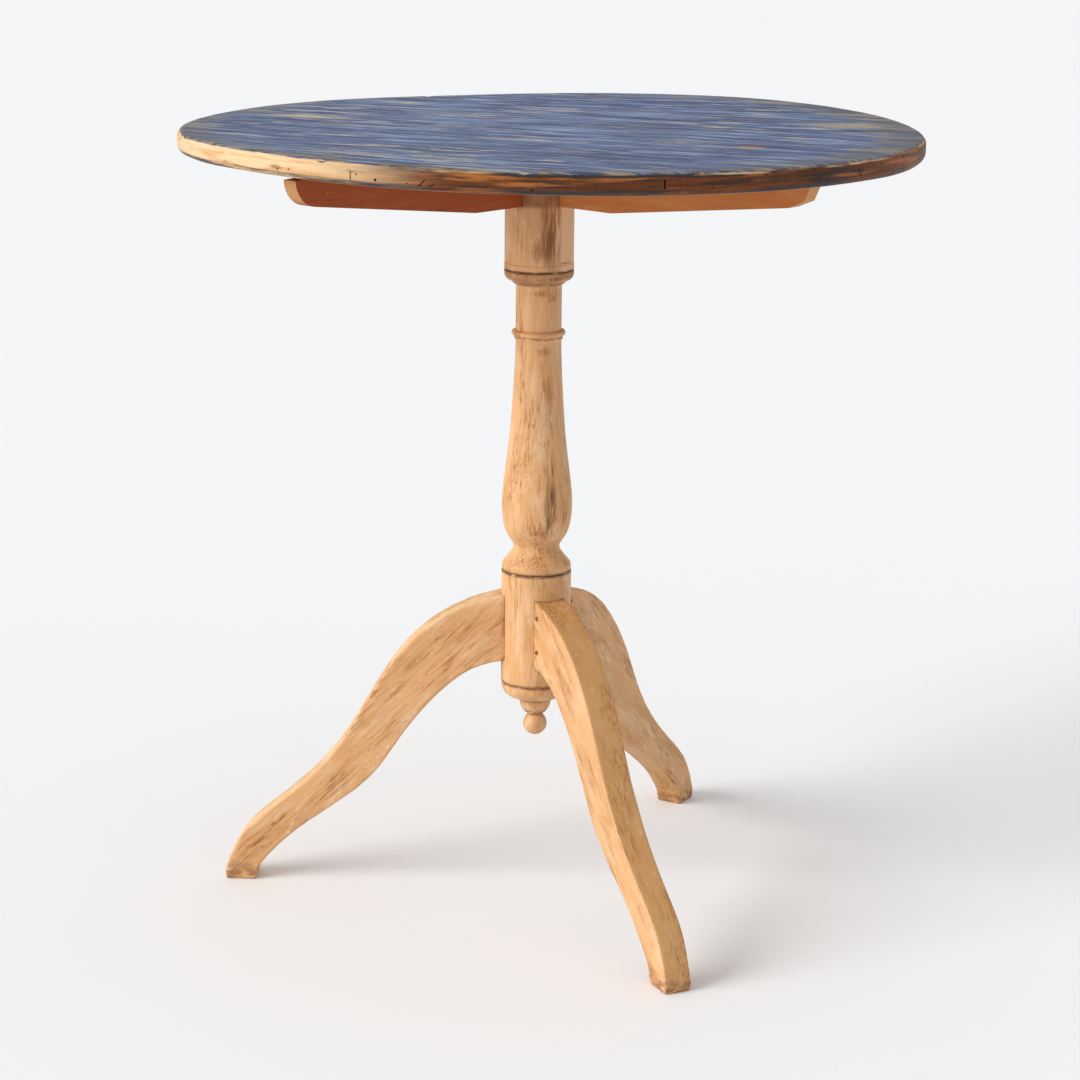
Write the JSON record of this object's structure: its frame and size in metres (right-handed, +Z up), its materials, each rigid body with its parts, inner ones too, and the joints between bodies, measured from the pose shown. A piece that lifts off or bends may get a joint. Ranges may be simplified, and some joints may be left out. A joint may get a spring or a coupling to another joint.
{
  "type": "tilt top table",
  "caption": "Round tilt-top pedestal table: a board top on crossed bearers, hinged to a turned column on curved legs.",
  "frame": {"origin": "on the floor under the middle of the round top", "axes": "+Z up; the crossed bearers lie along X and Y; the top tips down towards +Y"},
  "size_m": [0.694, 0.694, 0.75],
  "materials": {
    "painted_top": "worn blue paint on pine boards, bare at the edge",
    "bearer_wood": "red-brown stained wood, dull",
    "scraped_pine": "dry-scraped pale pine with traces of old paint",
    "pendant_wood": "turned wood, warmer and darker than the column",
    "dowel_wood": "plain dowel",
    "old_iron": "dark forged iron, lightly rusted"
  },
  "bodies": {
    "base": {"column_head": "scraped_pine", "turned_shaft": "scraped_pine", "leg_hub": "scraped_pine", "drop_pendant": "pendant_wood", "left_leg": "scraped_pine", "front_leg": "scraped_pine", "back_leg": "scraped_pine", "leg_nails": "old_iron", "hinge_column_leaf": "old_iron", "hinge_pin": "old_iron", "column_leaf_screws": "old_iron", "catch_staple": "old_iron"},
    "top": {"left_board": "painted_top", "middle_board": "painted_top", "right_board": "painted_top", "board_dowels": "dowel_wood", "cross_bearer": "bearer_wood", "grain_bearer": "bearer_wood", "bearer_screws": "old_iron", "hinge_arm_leaf": "old_iron", "arm_leaf_screws": "old_iron", "catch_screw": "old_iron"},
    "catch": {"catch_hook": "old_iron"}
  },
  "joints": [
    {"name": "top_tilt", "type": "hinge", "parent": "base", "child": "top", "pos_m": [-0.002, 0.0463, 0.6772], "axis": [-1, 0, 0], "range_deg": [0, 90]},
    {"name": "hook_swing", "type": "hinge", "parent": "top", "child": "catch", "pos_m": [0.039, 0.0213, 0.697], "axis": [0, 1, 0], "range_deg": [0, 90]}
  ]
}
